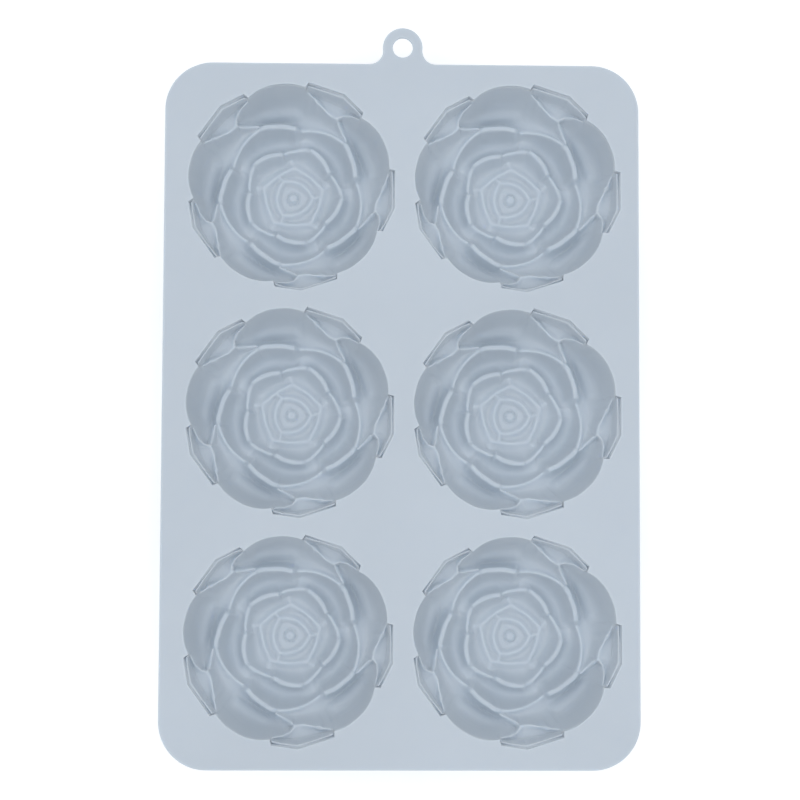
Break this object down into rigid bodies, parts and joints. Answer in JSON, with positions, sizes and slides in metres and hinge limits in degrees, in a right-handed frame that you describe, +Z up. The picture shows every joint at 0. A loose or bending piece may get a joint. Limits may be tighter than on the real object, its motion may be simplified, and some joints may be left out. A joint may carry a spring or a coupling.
{
  "type": "silicone soap mould",
  "caption": "Flexible tray mould for soap, candles or resin: a flat round-cornered sheet with open rose-shaped cups and a hanging tab with a round eye.",
  "frame": {"origin": "middle of the whole part's footprint, on the surface that the cups stand on", "axes": "+Z up, out of the open cavities; +Y along the sheet to the hanging tab; +X across the sheet"},
  "size_m": [0.175, 0.2726, 0.035],
  "materials": {
    "silicone": "matte pale blue-grey silicone"
  },
  "bodies": {
    "root": {"sheet": "silicone", "hanging_tab": "silicone", "rose_cup_lower_left": "silicone", "rose_cup_lower_right": "silicone", "rose_cup_middle_left": "silicone", "rose_cup_middle_right": "silicone", "rose_cup_upper_left": "silicone", "rose_cup_upper_right": "silicone"}
  },
  "joints": []
}
